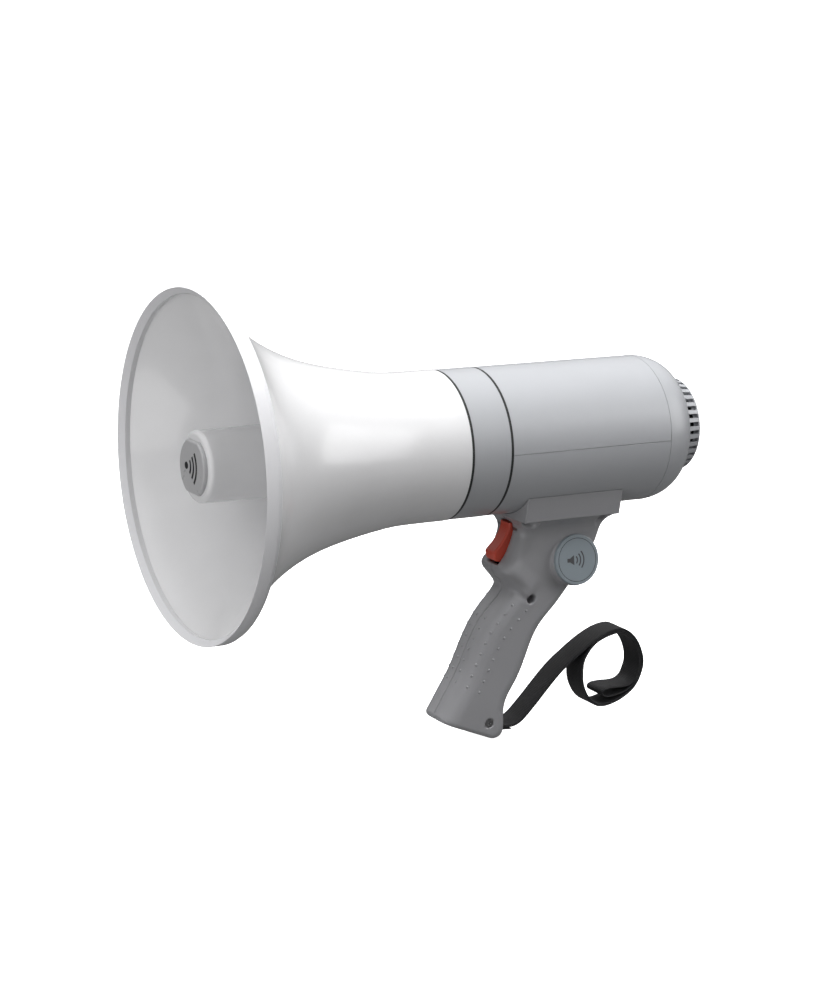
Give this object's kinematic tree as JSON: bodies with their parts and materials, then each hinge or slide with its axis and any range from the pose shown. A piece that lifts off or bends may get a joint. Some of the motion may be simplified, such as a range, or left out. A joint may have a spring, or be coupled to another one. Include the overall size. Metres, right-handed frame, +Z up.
{
  "type": "handheld megaphone",
  "caption": "Handheld megaphone: flared horn with a reflector cup, round body, rear microphone grille, pistol grip with a trigger, volume knob and rolled webbing strap.",
  "frame": {"origin": "centre of the horn's mouth, on the barrel's axis", "axes": "+X along the barrel from the mouth to the microphone end, +Z up, grip hanging towards -Z, trigger facing -X"},
  "size_m": [0.3452, 0.212, 0.2982],
  "materials": {
    "horn_white": "smooth gloss moulding",
    "rim_white": "finely grained moulding",
    "shell_grey": "smooth semi-gloss moulding",
    "gasket_black": "plain rubber",
    "grip_grey": "smooth satin moulding",
    "disc_slate": "satin disc",
    "knob_grey": "fluted satin knob",
    "trigger_red": "smooth gloss moulding",
    "badge_metal": "satin plate with rounded edges",
    "strap_black": "woven nylon webbing",
    "screw_steel": "zinc-plated",
    "foam_black": "open-cell foam",
    "inner_black": "plain moulding",
    "plate_steel": "turned steel",
    "magnet_ferrite": "ground ferrite",
    "coil_copper": "wound copper wire",
    "film_amber": "moulded phenolic film",
    "capsule_metal": "drawn can",
    "board_green": "solder-masked laminate",
    "cell_jacket": "plain printed jacket",
    "sink_black": "black anodised"
  },
  "bodies": {
    "megaphone": {"horn_bell": "horn_white", "horn_rim": "rim_white", "reflector_cup": "horn_white", "badge_plate": "badge_metal", "throat_tube": "horn_white", "reflector_spider": "horn_white", "horn_back_plate": "inner_black", "driver_front": "inner_black", "diaphragm": "film_amber", "voice_coil": "coil_copper", "top_plate": "plate_steel", "ring_magnet": "magnet_ferrite", "back_yoke": "plate_steel", "driver_screws": "screw_steel", "front_gasket": "gasket_black", "rear_gasket": "gasket_black", "collar_ring": "shell_grey", "collar_screws": "screw_steel", "body_upper_shell": "shell_grey", "body_lower_shell": "shell_grey", "battery_tray": "inner_black", "battery_end_plate": "board_green", "battery_cells": "cell_jacket", "battery_contacts": "plate_steel", "battery_springs": "plate_steel", "amplifier_board": "board_green", "board_screws": "screw_steel", "output_transformer": "plate_steel", "board_capacitors": "cell_jacket", "heat_sink": "sink_black", "power_transistors": "inner_black", "saddle_block": "grip_grey", "saddle_screws": "screw_steel", "handle_left": "grip_grey", "handle_right": "grip_grey", "handle_screw": "screw_steel", "strap_screw": "screw_steel", "label_disc": "disc_slate", "volume_pot": "capsule_metal", "trigger_pin": "plate_steel", "microswitch": "inner_black", "hand_strap": "strap_black"},
    "rear_cap": {"rear_cap": "shell_grey", "mic_grille": "shell_grey", "mic_foam": "foam_black", "mic_holder": "inner_black", "mic_capsule": "capsule_metal"},
    "volume_knob": {"volume_knob": "knob_grey"},
    "trigger": {"trigger": "trigger_red"},
    "switch_plunger": {"switch_plunger": "foam_black"}
  },
  "joints": [
    {"name": "trigger_hinge", "type": "hinge", "parent": "megaphone", "child": "trigger", "pos_m": [0.2225, 0, -0.0565], "axis": [0, -1, 0], "range_deg": [0, 6], "stiffness_Nm_per_rad": 0.3, "springref_deg": -8.59},
    {"name": "switch_slide", "type": "slide", "parent": "megaphone", "child": "switch_plunger", "axis": [1, 0, 0], "range_m": [0, 0.0018]},
    {"name": "volume_turn", "type": "hinge", "parent": "megaphone", "child": "volume_knob", "pos_m": [0.2584, 0.024, -0.077], "axis": [0, 1, 0], "range_deg": [0, 280]},
    {"name": "cap_twist", "type": "hinge", "parent": "megaphone", "child": "rear_cap", "pos_m": [0.322, 0, 0], "axis": [1, 0, 0], "range_deg": [0, 30]}
  ],
  "couplings": [
    {"joint": "switch_slide", "follows": "trigger_hinge", "m_per_rad": 0.016}
  ]
}
